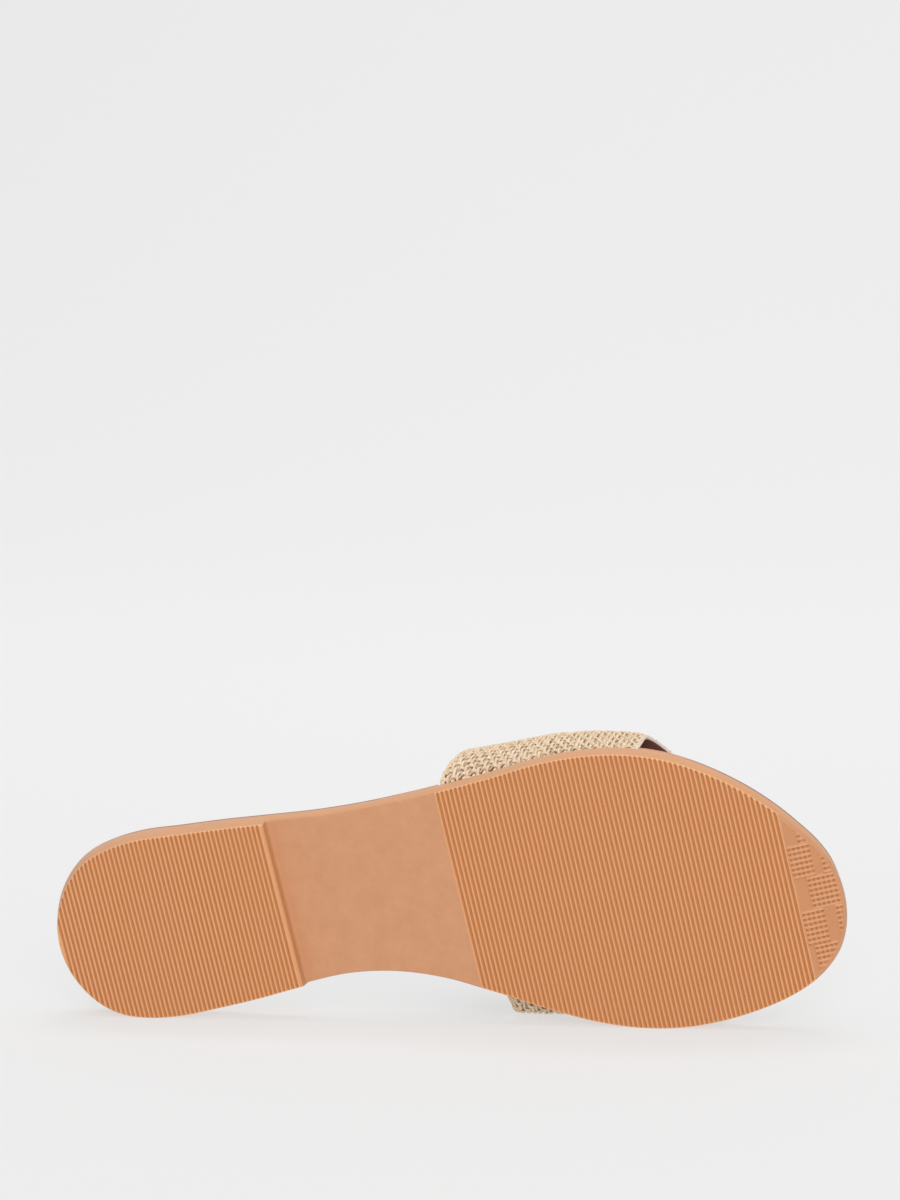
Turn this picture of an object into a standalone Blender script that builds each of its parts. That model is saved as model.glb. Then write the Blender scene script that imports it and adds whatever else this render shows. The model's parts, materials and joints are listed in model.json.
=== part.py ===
"""A flat slide sandal for the right foot, with one woven strap, lying on its inner (medial) side.

It is put together from three pieces: a moulded outsole, a footbed glued on top of it, and a strap whose two
margins are turned in and glued between footbed and outsole.

The pieces are modelled in the shoe's own frame, in millimetres: x runs from the back of the heel to the toe,
y from the outer (lateral) side to the inner side, and z up from the tread. An empty then lays the whole shoe
on its side, on the heel's edge, the ball's edge and the strap.
"""

from bisect import bisect_right
from collections import namedtuple
from math import cos, hypot, pi, sin

import bmesh
import bpy
from mathutils import Matrix, Vector

MILLIMETRE = 0.001
GLUE_GAP = 0.3
LATERAL = -1
MEDIAL = 1

# Outsole: the tread's outline, a row for each section from heel to toe
SoleSection = namedtuple("SoleSection", "along lateral medial")
SOLE_SECTIONS = (
    SoleSection(0.0, -5.0, 4.2),
    SoleSection(1.3, -10.0, 9.2),
    SoleSection(3.8, -15.7, 14.7),
    SoleSection(8.0, -21.3, 20.4),
    SoleSection(14.0, -26.2, 25.0),
    SoleSection(22.0, -29.2, 27.8),
    SoleSection(33.0, -30.6, 29.2),
    SoleSection(46.0, -30.0, 29.0),
    SoleSection(60.0, -29.2, 28.3),
    SoleSection(76.0, -28.0, 26.9),
    SoleSection(92.0, -26.9, 26.2),
    SoleSection(108.0, -26.6, 28.4),
    SoleSection(122.0, -27.0, 32.9),
    SoleSection(136.0, -27.8, 39.7),
    SoleSection(151.0, -28.9, 48.0),
    SoleSection(166.0, -30.4, 55.4),
    SoleSection(180.0, -30.3, 60.2),
    SoleSection(194.0, -28.3, 62.6),
    SoleSection(206.0, -24.4, 62.7),
    SoleSection(218.0, -17.8, 61.4),
    SoleSection(228.0, -10.2, 59.2),
    SoleSection(236.0, -2.3, 56.2),
    SoleSection(243.0, 6.4, 51.6),
    SoleSection(247.6, 13.4, 46.2),
    SoleSection(250.2, 19.6, 40.6),
    SoleSection(251.3, 25.6, 34.0),
)
STATIONS_PER_SECTION = 3

# Outsole: heights of tread and top, with the heel block's front face, the waist and the toe spring
HEEL_BREAST = 76.3
BREAST_DRAFT = 0.8
FOREFOOT_START = 134.3
PAD_DRAFT = 0.3
TreadHeight = namedtuple("TreadHeight", "along height")
TREAD_HEIGHTS = (
    TreadHeight(0.0, 0.0),
    TreadHeight(HEEL_BREAST, 0.0),
    TreadHeight(HEEL_BREAST + BREAST_DRAFT, 4.2),
    TreadHeight(FOREFOOT_START - PAD_DRAFT, 0.8),
    TreadHeight(FOREFOOT_START, 0.0),
    TreadHeight(212.0, 0.0),
    TreadHeight(228.0, 0.5),
    TreadHeight(240.0, 1.5),
    TreadHeight(251.3, 3.2),
)
TopEdge = namedtuple("TopEdge", "along height flare")
TOP_EDGES = (
    TopEdge(0.0, 11.6, 2.4),
    TopEdge(8.0, 11.6, 1.8),
    TopEdge(20.0, 11.5, 0.8),
    TopEdge(40.0, 11.4, 0.3),
    TopEdge(60.0, 11.1, 0.3),
    TopEdge(90.0, 9.8, 0.3),
    TopEdge(135.0, 8.9, 0.3),
    TopEdge(175.0, 8.8, 0.3),
    TopEdge(200.0, 8.2, 0.3),
    TopEdge(212.0, 7.6, 0.3),
    TopEdge(225.0, 7.1, 0.3),
    TopEdge(238.0, 7.5, 0.3),
    TopEdge(251.3, 8.8, 0.3),
)
TREAD_CHAMFER = 0.7

# Footbed
FOOTBED_THICKNESS = 2.9
FOOTBED_EDGE_INSET = 0.3
FOOTBED_EDGE_CHAMFER = 0.8

# Strap: a row for each section of the band from its back edge (place 0) to its front edge (place 1).
# On each side: where it meets the sole, how far it leans forward and how far it bulges out at its widest.
# At the crown, the top of its arch: how far across, how high, and how far it is swept forward.
StrapSide = namedtuple("StrapSide", "place foot lean bulge")
STRAP_SIDES = {
    LATERAL: (
        StrapSide(0.00, 132.8, 4.6, 5.2),
        StrapSide(0.33, 154.3, 3.0, 3.4),
        StrapSide(0.67, 176.2, 1.0, 1.4),
        StrapSide(1.00, 197.7, 0.5, -0.3),
    ),
    MEDIAL: (
        StrapSide(0.00, 137.6, -0.8, 13.3),
        StrapSide(0.33, 160.0, 0.0, 5.6),
        StrapSide(0.67, 183.5, 0.5, 1.3),
        StrapSide(1.00, 206.0, 1.0, 1.2),
    ),
}
BULGE_HEIGHTS = {LATERAL: 25.0, MEDIAL: 23.0}
StrapCrown = namedtuple("StrapCrown", "place across height sweep")
STRAP_CROWNS = (
    StrapCrown(0.00, 15.0, 66.0, 8.0),
    StrapCrown(0.33, 16.5, 61.0, 8.5),
    StrapCrown(0.67, 17.5, 54.5, 9.5),
    StrapCrown(1.00, 18.0, 47.0, 10.5),
)
STRAP_WALL = 2.4
STRAP_EDGE_INSET = 0.3
MARGIN_WIDTH = 9.0
MARGIN_THICKNESS = 1.2
MARGIN_BEND = 2.2
BRAID_RELIEF = 0.45
COLUMNS = 20
MARGIN_ROWS = 2
BEND_ROWS = 2
THICKENING_ROWS = 2
WALL_ROWS = 6
ARCH_ROWS = 22

# Clearances of the strap's margin in the footbed, and the largest share of its width that its rebate takes
MARGIN_SIDE_CLEARANCE = 0.8
MARGIN_END_CLEARANCE = 0.6
WALL_CLEARANCE = 0.9
WIDEST_REBATE = 1 / 3

# The face of the shoe's hull that it lies on looks out of the medial side at least this squarely
RESTING_FACE_SQUARENESS = 0.9


def column(table, name):
    return [getattr(row, name) for row in table]


def line(xs, ys, x):
    """Value at x of the straight segments through the points (xs, ys)."""
    i = min(max(bisect_right(xs, x) - 1, 0), len(xs) - 2)
    return ys[i] + (ys[i + 1] - ys[i]) * (x - xs[i]) / (xs[i + 1] - xs[i])


def slope_at(xs, ys, i):
    """Slope at point i of the parabola through it and its two neighbours."""
    if i in (0, len(xs) - 1):
        j = min(i, len(xs) - 2)
        return (ys[j + 1] - ys[j]) / (xs[j + 1] - xs[j])
    before = xs[i] - xs[i - 1]
    after = xs[i + 1] - xs[i]
    slope_before = (ys[i] - ys[i - 1]) / before
    slope_after = (ys[i + 1] - ys[i]) / after
    return (slope_before * after + slope_after * before) / (before + after)


def curve(xs, ys, x):
    """Value at x of a smooth curve through the points (xs, ys)."""
    i = min(max(bisect_right(xs, x) - 1, 0), len(xs) - 2)
    width = xs[i + 1] - xs[i]
    f = (x - xs[i]) / width
    start_slope = slope_at(xs, ys, i) * width
    end_slope = slope_at(xs, ys, i + 1) * width
    rise = ys[i + 1] - ys[i]
    return ys[i] + f * (start_slope + f * (3 * rise - 2 * start_slope - end_slope
                                           + f * (start_slope + end_slope - 2 * rise)))


ALONGS = column(SOLE_SECTIONS, "along")
SOLE_LENGTH = ALONGS[-1]
SIDE_COLUMNS = {LATERAL: column(SOLE_SECTIONS, "lateral"), MEDIAL: column(SOLE_SECTIONS, "medial")}


def tread_height(along):
    return line(column(TREAD_HEIGHTS, "along"), column(TREAD_HEIGHTS, "height"), along)


def top_height(along):
    return curve(column(TOP_EDGES, "along"), column(TOP_EDGES, "height"), along)


def top_flare(along):
    """How far the outsole's top edge stands outside its tread, as at the sloping back of the heel."""
    return curve(column(TOP_EDGES, "along"), column(TOP_EDGES, "flare"), along)


def outline(side, along):
    """Across position of the tread's edge on one side."""
    return curve(ALONGS, SIDE_COLUMNS[side], along)


def edge(side, along, out):
    """The point that lies `out` outside the tread's edge, square to it."""
    step = 0.05
    before = max(along - step, 0.0)
    after = min(along + step, SOLE_LENGTH)
    slope = (outline(side, after) - outline(side, before)) / (after - before)
    scale = side * out / hypot(slope, 1.0)
    return along - slope * scale, outline(side, along) + scale


def stations(*extra):
    """Places along the sole where it has a section: the table's rows, points between them, and extra ones."""
    places = set(extra) | {SOLE_LENGTH}
    for start, end in zip(ALONGS, ALONGS[1:]):
        for k in range(STATIONS_PER_SECTION):
            places.add(start + (end - start) * k / STATIONS_PER_SECTION)
    return sorted(places)


def outsole_section(along):
    """Closed section of the outsole: two sidewalls with chamfered lower edges, flat tread and flat top."""
    tread = tread_height(along)
    top = top_height(along)
    points = []
    for side, order in ((LATERAL, 1), (MEDIAL, -1)):
        corner = (
            (*edge(side, along, top_flare(along)), top),
            (*edge(side, along, 0.0), tread + TREAD_CHAMFER),
            (*edge(side, along, -TREAD_CHAMFER), tread),
        )
        points += corner[::order]
    return points


STRAP_ENDS = {
    side: (rows[0].foot - MARGIN_END_CLEARANCE, rows[-1].foot + MARGIN_END_CLEARANCE)
    for side, rows in STRAP_SIDES.items()
}


def under_strap(side, along):
    """Whether the strap's margin lies under the footbed's edge here."""
    first, last = STRAP_ENDS[side]
    return first <= along <= last


def footbed_section(along):
    """Closed section of the footbed, with a rebate below its edge where the strap's margin is tucked in."""
    bottom = top_height(along) + GLUE_GAP
    top = bottom + FOOTBED_THICKNESS
    flare = top_flare(along)
    width = outline(MEDIAL, along) - outline(LATERAL, along)
    rebate = min(STRAP_EDGE_INSET + MARGIN_WIDTH + MARGIN_SIDE_CLEARANCE, WIDEST_REBATE * width)
    points = []
    for side, order in ((LATERAL, 1), (MEDIAL, -1)):
        out = flare - FOOTBED_EDGE_INSET
        lower = bottom
        if under_strap(side, along):
            out = flare - STRAP_EDGE_INSET - STRAP_WALL - WALL_CLEARANCE
            lower = bottom + MARGIN_THICKNESS + GLUE_GAP
        inner = flare - rebate
        corner = (
            (*edge(side, along, out - FOOTBED_EDGE_CHAMFER), top),
            (*edge(side, along, out), top - FOOTBED_EDGE_CHAMFER),
            (*edge(side, along, out), lower),
            (*edge(side, along, inner), lower),
            (*edge(side, along, inner - GLUE_GAP), bottom),
        )
        points += corner[::order]
    return points


def strap_size(table, name, place):
    return curve(column(table, "place"), column(table, name), place)


def strap_side(side, place):
    """Outer line of the strap on one side, from the end of its margin up to the widest point of its wall."""
    foot = strap_size(STRAP_SIDES[side], "foot", place)
    lean = strap_size(STRAP_SIDES[side], "lean", place)
    bulge = strap_size(STRAP_SIDES[side], "bulge", place)
    base = top_height(foot) + GLUE_GAP
    rise = BULGE_HEIGHTS[side] - base
    out = top_flare(foot) - STRAP_EDGE_INSET
    corner = outline(side, foot) + side * out

    def wall(f):
        y = corner + side * bulge * (1 - (1 - f) ** 2)
        return Vector((foot + lean * f ** 2, y, base + rise * f))

    def margin(inside):
        return Vector((*edge(side, foot, out - inside), base))

    bend_start = margin(MARGIN_BEND)
    bend_end_place = MARGIN_BEND / hypot(rise, 2 * bulge)
    bend_end = wall(bend_end_place)
    points = []
    for k in range(MARGIN_ROWS):
        points.append(margin(MARGIN_WIDTH + (MARGIN_BEND - MARGIN_WIDTH) * k / MARGIN_ROWS))
    for k in range(BEND_ROWS):
        f = k / BEND_ROWS
        points.append(bend_start * (1 - f) ** 2 + wall(0.0) * (2 * f * (1 - f)) + bend_end * f ** 2)
    for k in range(WALL_ROWS + 1):
        points.append(wall(bend_end_place + (1 - bend_end_place) * k / WALL_ROWS))
    return points


def strap_line(place):
    """Outer line of the strap at one place between its back edge and its front edge, over the foot."""
    lateral = strap_side(LATERAL, place)
    medial = strap_side(MEDIAL, place)
    across = strap_size(STRAP_CROWNS, "across", place)
    height = strap_size(STRAP_CROWNS, "height", place)
    sweep = strap_size(STRAP_CROWNS, "sweep", place)
    arch = []
    for widest, steps in ((lateral[-1], range(1, ARCH_ROWS + 1)), (medial[-1], range(ARCH_ROWS - 1, 0, -1))):
        for k in steps:
            angle = pi / 2 * k / ARCH_ROWS
            y = across + (widest.y - across) * cos(angle)
            z = widest.z + (height - widest.z) * sin(angle)
            share = (y - lateral[-1].y) / (medial[-1].y - lateral[-1].y)
            x = lateral[-1].x + (medial[-1].x - lateral[-1].x) * share + sweep * sin(angle) ** 2
            arch.append(Vector((x, y, z)))
    return lateral + arch + medial[::-1]


def strap_thickness(row, rows):
    """The margin is pared thin; the wall reaches its full thickness in the rows above the bend."""
    from_margin = min(row, rows - 1 - row) - MARGIN_ROWS - BEND_ROWS
    share = min(max(from_margin / THICKENING_ROWS, 0.0), 1.0)
    return MARGIN_THICKNESS + (STRAP_WALL - MARGIN_THICKNESS) * share


def surface_normal(grid, i, j):
    """Outward normal of the strap's outer face at column i and row j."""
    along = grid[min(i + 1, len(grid) - 1)][j] - grid[max(i - 1, 0)][j]
    over = grid[i][min(j + 1, len(grid[i]) - 1)] - grid[i][max(j - 1, 0)]
    return along.cross(over).normalized()


def braid_relief(i, j, rows):
    """Raised and sunken points take turns over the wall, so that the strips between raised ones cross."""
    from_margin = min(j, rows - 1 - j) - MARGIN_ROWS - BEND_ROWS
    at_edge = i in (0, COLUMNS) or from_margin < 1
    if at_edge:
        return 0.0
    return BRAID_RELIEF if (i + j) % 2 == 0 else -BRAID_RELIEF


def add_piece(name, bm, material):
    """Close a piece's mesh, turn its faces outwards and put it in the scene in metres."""
    bmesh.ops.recalc_face_normals(bm, faces=bm.faces)
    bmesh.ops.scale(bm, vec=(MILLIMETRE,) * 3, verts=bm.verts)
    mesh = bpy.data.meshes.new(name)
    bm.to_mesh(mesh)
    bm.free()
    mesh.materials.append(material)
    piece = bpy.data.objects.new(name, mesh)
    bpy.context.collection.objects.link(piece)
    return piece


def loft(name, sections, material):
    """A closed piece through sections with the same number of points."""
    bm = bmesh.new()
    rings = [[bm.verts.new(point) for point in section] for section in sections]
    for back, front in zip(rings, rings[1:]):
        for i in range(len(back)):
            j = (i + 1) % len(back)
            bm.faces.new((back[i], back[j], front[j], front[i]))
    bm.faces.new(rings[0])
    bm.faces.new(rings[-1])
    return add_piece(name, bm, material)


def make_outsole(material):
    places = stations(*column(TREAD_HEIGHTS, "along"))
    return loft("outsole", [outsole_section(place) for place in places], material)


def make_footbed(material):
    step = 0.1
    ends = [end + shift for side in STRAP_ENDS.values() for end in side for shift in (-step, step)]
    return loft("footbed", [footbed_section(place) for place in stations(*ends)], material)


def make_strap(material):
    """One wall: a braided outer face, a plain inner face with half as many points, and the edges between."""
    grid = [strap_line(i / COLUMNS) for i in range(COLUMNS + 1)]
    rows = len(grid[0])
    bm = bmesh.new()
    outer = []
    inner = {}
    for i in range(COLUMNS + 1):
        outer.append([])
        for j in range(rows):
            normal = surface_normal(grid, i, j)
            outer[i].append(bm.verts.new(grid[i][j] + normal * braid_relief(i, j, rows)))
            if i % 2 == 0 and j % 2 == 0:
                inner[i, j] = bm.verts.new(grid[i][j] - normal * strap_thickness(j, rows))
    for i in range(COLUMNS):
        for j in range(rows - 1):
            corners = (outer[i][j], outer[i + 1][j], outer[i + 1][j + 1], outer[i][j + 1])
            turn = (i + j) % 2
            a, b, c, d = corners[turn:] + corners[:turn]
            bm.faces.new((a, b, c))
            bm.faces.new((a, c, d))
    for i in range(0, COLUMNS, 2):
        for j in range(0, rows - 1, 2):
            bm.faces.new((inner[i, j], inner[i, j + 2], inner[i + 2, j + 2], inner[i + 2, j]))
        for j in (0, rows - 1):
            bm.faces.new((outer[i][j], outer[i + 1][j], outer[i + 2][j], inner[i + 2, j], inner[i, j]))
    for j in range(0, rows - 1, 2):
        for i in (0, COLUMNS):
            bm.faces.new((outer[i][j], outer[i][j + 1], outer[i][j + 2], inner[i, j + 2], inner[i, j]))
    return add_piece("strap", bm, material)


def make_material(name, colour, roughness):
    material = bpy.data.materials.new(name)
    material.use_nodes = True
    shader = material.node_tree.nodes["Principled BSDF"]
    shader.inputs["Base Color"].default_value = (*colour, 1.0)
    shader.inputs["Roughness"].default_value = roughness
    shader.inputs["Metallic"].default_value = 0.0
    return material


def resting_placement(pieces):
    """How the shoe lies: on the largest medial face of its hull, that face's long edge along +X.

    The floor is z = 0 and the origin is under the middle of the shoe's box.
    """
    points = [vertex.co.copy() for piece in pieces for vertex in piece.data.vertices]
    bm = bmesh.new()
    for point in points:
        bm.verts.new(point)
    bmesh.ops.convex_hull(bm, input=bm.verts)
    medial_faces = [face for face in bm.faces if face.normal.y > RESTING_FACE_SQUARENESS]
    floor = max(medial_faces, key=lambda face: face.calc_area())
    long_edge = max(floor.edges, key=lambda side: side.calc_length())
    up = -floor.normal
    heel, ball = sorted((vertex.co for vertex in long_edge.verts), key=lambda point: point.x)
    forward = (ball - heel).normalized()
    turn = Matrix((forward, up.cross(forward), up))
    bm.free()
    laid = [turn @ point for point in points]
    low = [min(point[axis] for point in laid) for axis in range(3)]
    high = [max(point[axis] for point in laid) for axis in range(3)]
    shift = Vector((-(low[0] + high[0]) / 2, -(low[1] + high[1]) / 2, -low[2]))
    return Matrix.Translation(shift) @ turn.to_4x4()


for old in list(bpy.data.objects):
    bpy.data.objects.remove(old)

sandal_pieces = [
    make_outsole(make_material("tan_rubber", (0.60, 0.31, 0.16), 0.55)),
    make_footbed(make_material("footbed_cover", (0.52, 0.27, 0.17), 0.50)),
    make_strap(make_material("woven_straw", (0.70, 0.57, 0.37), 0.85)),
]
sandal = bpy.data.objects.new("sandal", None)
bpy.context.collection.objects.link(sandal)
sandal.matrix_world = resting_placement(sandal_pieces)
for sandal_piece in sandal_pieces:
    sandal_piece.parent = sandal
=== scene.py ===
"""Looks of a flat slide sandal, the right shoe, lying on its inner side: outsole, footbed and woven strap."""

import json

import bpy
import numpy as np
from mathutils import Matrix, Vector
from mathutils.kdtree import KDTree


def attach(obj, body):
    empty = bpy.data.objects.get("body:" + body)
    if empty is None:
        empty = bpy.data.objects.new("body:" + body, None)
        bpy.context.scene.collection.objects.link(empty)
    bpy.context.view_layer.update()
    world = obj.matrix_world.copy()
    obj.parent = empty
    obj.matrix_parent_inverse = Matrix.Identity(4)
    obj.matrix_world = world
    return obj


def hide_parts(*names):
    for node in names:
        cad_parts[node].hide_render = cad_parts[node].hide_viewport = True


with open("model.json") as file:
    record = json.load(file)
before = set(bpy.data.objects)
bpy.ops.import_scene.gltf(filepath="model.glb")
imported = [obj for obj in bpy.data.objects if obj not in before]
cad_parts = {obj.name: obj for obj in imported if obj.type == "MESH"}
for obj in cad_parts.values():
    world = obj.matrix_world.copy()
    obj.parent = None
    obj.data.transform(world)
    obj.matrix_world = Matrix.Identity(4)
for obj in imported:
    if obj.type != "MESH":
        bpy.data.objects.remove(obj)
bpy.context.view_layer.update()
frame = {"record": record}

# How the shoe lies. Every piece is modelled in the shoe's own frame, in millimetres: x from heel to toe,
# y from the outer (lateral) to the inner (medial) side, z up from the tread. The record's two tread mounts
# say where that frame lies on the floor.
MILLIMETRES_PER_METRE = 1000
HEEL_MOUNT_PLACE = Vector((40.0, 0.0))
FOREFOOT_MOUNT_PLACE = Vector((175.0, 15.0))
mounts = {mount["name"]: mount for mount in frame["record"]["mounts"]}
heel_mount = Vector(mounts["heel_tread"]["pos_m"])
forefoot_mount = Vector(mounts["forefoot_tread"]["pos_m"])
shoe_up = -Vector(mounts["heel_tread"]["axis"]).normalized()
between_mounts = (forefoot_mount - heel_mount).normalized()
beside_mounts = shoe_up.cross(between_mounts).normalized()
mount_cosine, mount_sine = (FOREFOOT_MOUNT_PLACE - HEEL_MOUNT_PLACE).normalized()
shoe_forward = between_mounts * mount_cosine - beside_mounts * mount_sine
shoe_inward = between_mounts * mount_sine + beside_mounts * mount_cosine
shoe_axes = np.array((shoe_forward, shoe_inward, shoe_up)) / MILLIMETRES_PER_METRE
shoe_origin = np.array(heel_mount) - np.array((*HEEL_MOUNT_PLACE, 0.0)) @ shoe_axes


def lay(points):
    """Points of the shoe's own frame, in millimetres, as they lie on the floor, in metres."""
    return np.asarray(points, float) @ shoe_axes + shoe_origin


# Outsole. One unit of tan rubber, moulded: a ribbed heel block, a smooth recessed waist and a ribbed
# forefoot with toe spring. Its sidewall slopes out behind the heel, and its grooves stop just short of the
# edge, so a thin rim runs round the tread.
LATERAL, MEDIAL = SIDES = -1, 1
SOLE_OUTLINE = np.array([  # along, lateral, medial
    (-0.38, -0.4, -0.4), (0.0, -5.0, 4.2), (1.3, -10.0, 9.2), (3.8, -15.7, 14.7), (8.0, -21.3, 20.4),
    (14.0, -26.2, 25.0), (22.0, -29.2, 27.8), (33.0, -30.6, 29.2), (46.0, -30.0, 29.0), (60.0, -29.2, 28.3),
    (76.0, -28.0, 26.9), (92.0, -26.9, 26.2), (108.0, -26.6, 28.4), (122.0, -27.0, 32.9),
    (136.0, -27.8, 39.7), (151.0, -28.9, 48.0), (166.0, -30.4, 55.4), (180.0, -30.3, 60.2),
    (194.0, -28.3, 62.6), (206.0, -24.4, 62.7), (218.0, -17.8, 61.4), (228.0, -10.2, 59.2),
    (236.0, -2.3, 56.2), (243.2, 6.4, 51.6), (248.1, 13.4, 46.2), (250.9, 19.6, 40.2), (252.1, 25.6, 34.6),
    (252.4, 30.2, 30.2),
])
HEEL_TIP, TOE_TIP = SOLE_OUTLINE[[0, -1], 0]
TREAD_HEIGHTS = np.array([  # along, height
    (-1.0, 0.0), (75.2, 0.0), (75.5, 0.1), (75.65, 0.5), (75.75, 3.0), (75.9, 3.6), (76.4, 3.95), (77.2, 4.08),
    (80.5, 4.0), (132.6, 0.12), (133.0, 0.0), (212.0, 0.0), (228.0, 0.5), (240.0, 1.5), (252.0, 3.3),
])
WAIST_BENDS = TREAD_HEIGHTS[1:-4, 0]
TOP_EDGE = np.array([  # along, height, flare
    (-1.0, 11.6, 2.4), (8.0, 11.6, 1.8), (20.0, 11.5, 0.8), (40.0, 11.4, 0.3), (60.0, 11.1, 0.3),
    (90.0, 9.8, 0.3), (135.0, 8.9, 0.3), (175.0, 8.8, 0.3), (200.0, 8.2, 0.3), (212.0, 7.6, 0.3),
    (225.0, 7.1, 0.3), (238.0, 7.5, 0.3), (246.0, 8.3, -0.1), (253.0, 9.0, -0.6),
])
GROOVE_RUNS = ((1.36, 73.65, 49), (133.7, 237.27, 70))  # first groove, last groove, how many
RIBBED_SPANS = ((-0.4, 75.62), (132.8, 238.2))
GROOVE_DEPTH = 0.95
GROOVE_HALF_TOP, GROOVE_HALF_BOTTOM = 0.5, 0.2
GROOVE_END = (0.08, 0.45)  # from the sole's edge to where a groove starts, and to where it has its depth
RIB_END_HIGHLIGHT, RIB_END_HIGHLIGHT_SHARE = (0.25, 0.5), 0.5  # how far in the painted highlight on a rib's end fades out, and how pale it is painted
HEEL_LIP, HEEL_LIP_SHADE = (74.8, 75.7), 0.4  # the heel block's front edge, and the share of painted shade put on it
BREAST_FOOT, BREAST_FOOT_SHADE = (76.4, 81.0), 0.35  # the waist beside that edge, where that painted shade fades out
EDGE_ROUNDING = 0.5
EDGE_INSETS = np.array((0.0, 0.04, 0.1, 0.18, 0.27, 0.37, 0.5, 0.7))
WIDEST_INSET = 0.4  # share of the tread's width, reached only at the narrow tips
LEAST_WIDTH = 0.001  # stands in at the tips themselves, where the tread has no width
INNER_SHARES = np.array((0.1, 0.3, 0.5, 0.7, 0.9))
WALL_SHARES = (0.08, 0.2, 0.35, 0.5, 0.65, 0.8, 0.92)
WALL_BULGE = 0.35
WALL_TOP_ROUNDING = ((0.1, 0.08), (0.5, 0.0))  # in from the sidewall's top edge, down from it
WALL_RIB_LIGHT_SHARE = 0.6
RIB_STEP = 0.15  # ten rows of points to a rib and its groove
STATION_RUNS = (  # from and to along the sole, step: heel, waist, forefoot, toe
    (1.4, 75.2, RIB_STEP), (82.0, 133.0, 1.5), (133.2, 238.4, RIB_STEP), (238.5, 249.8, 0.3),
)
END_STEPS = np.linspace(0, 1.3, 14) ** 2  # in from a tip, closest together at the tip
RIM_STEPS = 4000
WELD_DIGITS = 5


def smooth(xs, ys, x):
    """Value at x of a smooth curve through the points (xs, ys)."""
    steps = np.diff(xs)
    slopes = np.diff(ys) / steps
    inner = (slopes[:-1] * steps[1:] + slopes[1:] * steps[:-1]) / (steps[1:] + steps[:-1])
    tangents = np.r_[slopes[0], inner, slopes[-1]]
    i = np.clip(np.searchsorted(xs, x, side="right") - 1, 0, len(xs) - 2)
    f = (x - xs[i]) / steps[i]
    start, end, rise = tangents[i] * steps[i], tangents[i + 1] * steps[i], ys[i + 1] - ys[i]
    return ys[i] + f * (start + f * (3 * rise - 2 * start - end + f * (start + end - 2 * rise)))


def turn_at(along):
    """A place along the sole as an angle, 0 at the heel's tip and pi at the toe's, to keep the tips round."""
    return np.arccos(np.clip(1 - 2 * (along - HEEL_TIP) / (TOE_TIP - HEEL_TIP), -1, 1))


def edge(side, along, out):
    """Points that lie `out` outside the sole's edge on one side, square to it."""
    turn = turn_at(along)
    turns, across = turn_at(SOLE_OUTLINE[:, 0]), SOLE_OUTLINE[:, 1 if side == LATERAL else 2]
    step = 0.002
    slope_x = (TOE_TIP - HEEL_TIP) / 2 * np.sin(turn)
    slope_y = (smooth(turns, across, turn + step) - smooth(turns, across, turn - step)) / (2 * step)
    scale = side * out / np.hypot(slope_x, slope_y)
    return np.stack((along - slope_y * scale, smooth(turns, across, turn) + slope_x * scale), axis=-1)


def top_height(along):
    return smooth(TOP_EDGE[:, 0], TOP_EDGE[:, 1], along)


def top_flare(along):
    return smooth(TOP_EDGE[:, 0], TOP_EDGE[:, 2], along)


def tread_height(along):
    return np.interp(along, TREAD_HEIGHTS[:, 0], TREAD_HEIGHTS[:, 1])


def ramp(value, start, end):
    """0 before start, 1 after end, and a soft step between them."""
    share = np.clip((value - start) / (end - start), 0, 1)
    return share * share * (3 - 2 * share)


def fall(value, start, end):
    """1 before start, 0 after end, and a soft step between them."""
    return ramp(-value, -end, -start)


def groove_share(along):
    """How deep the tread is cut along the shoe, from 0 on a rib to 1 in a groove."""
    away = np.full(along.shape, np.inf)
    for first, last, count in GROOVE_RUNS:
        pitch = (last - first) / (count - 1)
        nearest = first + pitch * np.clip(np.round((along - first) / pitch), 0, count - 1)
        away = np.minimum(away, np.abs(along - nearest))
    return fall(away, GROOVE_HALF_BOTTOM, GROOVE_HALF_TOP)


def grid_faces(rows, columns, closed=False, flip=False):
    """Quads between the rows of a grid of points; `closed` joins each row's last point to its first."""
    index = np.arange(rows * columns).reshape(rows, columns)
    if closed:
        index = np.hstack((index, index[:, :1]))
    corners = (index[:-1, :-1], index[1:, :-1], index[1:, 1:], index[:-1, 1:])
    quads = np.stack(corners, axis=-1).reshape(-1, 4)
    return quads[:, ::-1] if flip else quads


def weld(points, quads):
    """The points without doubles, which of them each given point became, and the faces that are left."""
    single, became = np.unique(np.round(points, WELD_DIGITS), axis=0, return_inverse=True)
    faces = [list(dict.fromkeys(corners)) for corners in became.reshape(-1)[quads].tolist()]
    return single, became.reshape(-1), [corners for corners in faces if len(corners) > 2]


def add_mesh(name, points, faces):
    """A smooth-shaded piece from points in the shoe's own frame."""
    mesh = bpy.data.meshes.new(name)
    mesh.from_pydata(lay(points).tolist(), [], faces)
    mesh.shade_smooth()
    piece = bpy.data.objects.new(name, mesh)
    bpy.context.scene.collection.objects.link(piece)
    return piece


rim_along = HEEL_TIP + (TOE_TIP - HEEL_TIP) * (1 - np.cos(np.linspace(0, np.pi, RIM_STEPS))) / 2
rim_points = np.vstack([edge(side, rim_along, 0.0) for side in SIDES])
rim_tree = KDTree(len(rim_points))
for i, (x, y) in enumerate(rim_points):
    rim_tree.insert((x, y, 0.0), i)
rim_tree.balance()


def from_rim(plan):
    """Distance of each point of the tread's plan from the sole's edge."""
    distances = [rim_tree.find((x, y, 0.0))[2] for x, y in plan.reshape(-1, 2)]
    return np.array(distances).reshape(plan.shape[:-1])


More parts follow.
